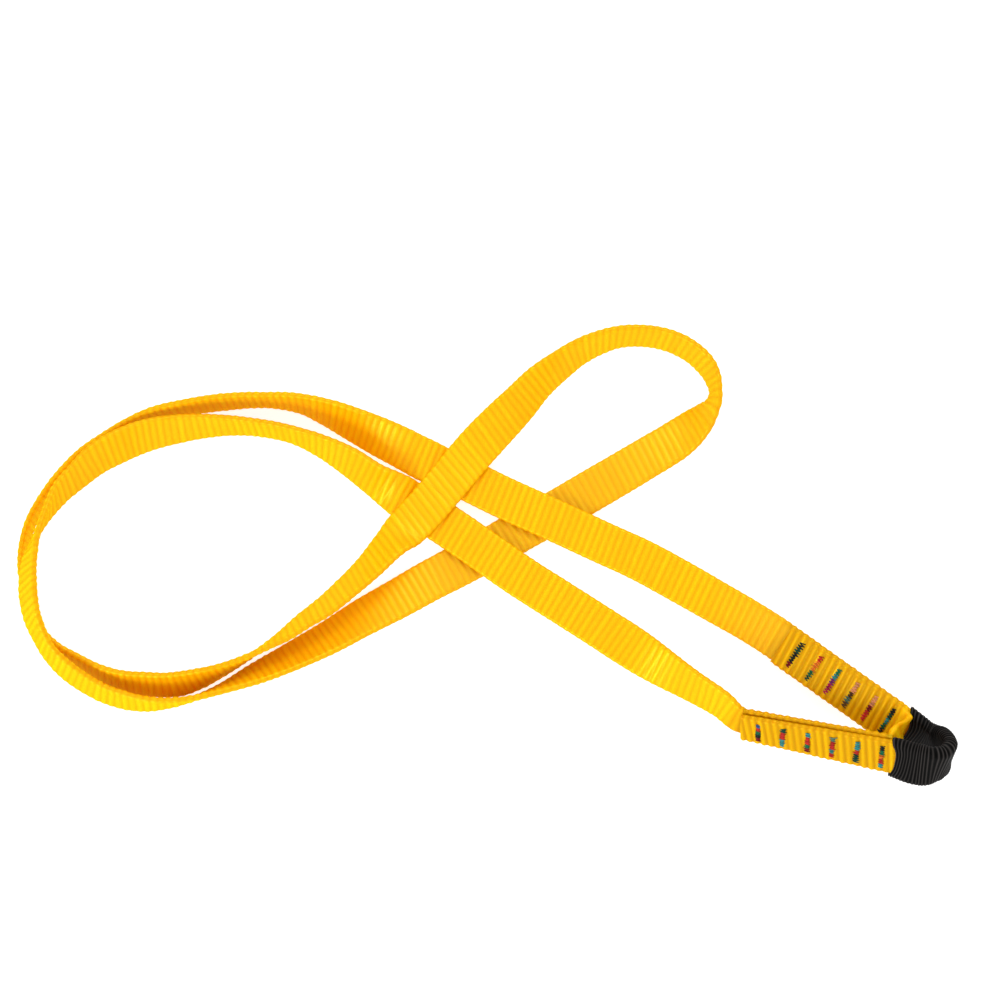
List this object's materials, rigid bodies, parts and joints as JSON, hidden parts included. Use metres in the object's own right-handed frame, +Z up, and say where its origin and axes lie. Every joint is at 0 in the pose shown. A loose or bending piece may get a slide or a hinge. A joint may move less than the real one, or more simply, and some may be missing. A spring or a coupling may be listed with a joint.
{
  "type": "round sling",
  "caption": "Endless loop of yellow tubular webbing, closed by a lapped and bar-tacked end with a small sleeved eye, lying crossed over itself in two bights.",
  "frame": {"origin": "on the table, below the middle of the laid sling's bounding box", "axes": "+X along the laid sling from its large bight to its sewn eye, +Y across it towards the small bight, +Z up from the table"},
  "size_m": [0.3863, 0.1946, 0.0368],
  "materials": {
    "webbing_yellow": "matt ribbed tubular nylon weave",
    "sleeve_black": "matt ribbed narrow tubular weave",
    "thread_green": "tight zigzag stitching, slight sheen",
    "thread_teal": "tight zigzag stitching, slight sheen",
    "thread_red": "tight zigzag stitching, slight sheen"
  },
  "bodies": {
    "crossing": {"webbing_middle_left_bound": "webbing_yellow", "webbing_middle_right_bound": "webbing_yellow", "webbing_middle_under": "webbing_yellow", "webbing_middle_over": "webbing_yellow"},
    "left_loop": {"webbing_left_outer_turn": "webbing_yellow", "webbing_left_inner_turn": "webbing_yellow"},
    "far_bight": {"webbing_far_bight": "webbing_yellow"},
    "sewn_end": {"webbing_inner_ply": "webbing_yellow", "webbing_outer_ply": "webbing_yellow", "eye_sleeve": "sleeve_black", "bar_tack_01": "thread_teal", "bar_tack_02": "thread_red", "bar_tack_03": "thread_green", "bar_tack_04": "thread_teal", "bar_tack_05": "thread_red", "bar_tack_06": "thread_green", "bar_tack_07": "thread_teal", "bar_tack_08": "thread_red", "bar_tack_09": "thread_green", "bar_tack_10": "thread_teal", "bar_tack_11": "thread_red", "bar_tack_12": "thread_green"}
  },
  "joints": [
    {"name": "left_loop_fold", "type": "hinge", "parent": "crossing", "child": "left_loop", "pos_m": [-0.0452, 0.0112, 0.0176], "axis": [0, 1, 0], "range_deg": [0, 90]},
    {"name": "far_bight_fold", "type": "hinge", "parent": "crossing", "child": "far_bight", "pos_m": [0.0339, 0.0493, 0.0126], "axis": [0.6214, -0.7457, -0.2405], "range_deg": [0, 90]},
    {"name": "sewn_end_fold", "type": "hinge", "parent": "crossing", "child": "sewn_end", "pos_m": [0.0707, -0.0226, 0.0096], "axis": [-0.4999, -0.8661, 0], "range_deg": [0, 90]}
  ]
}
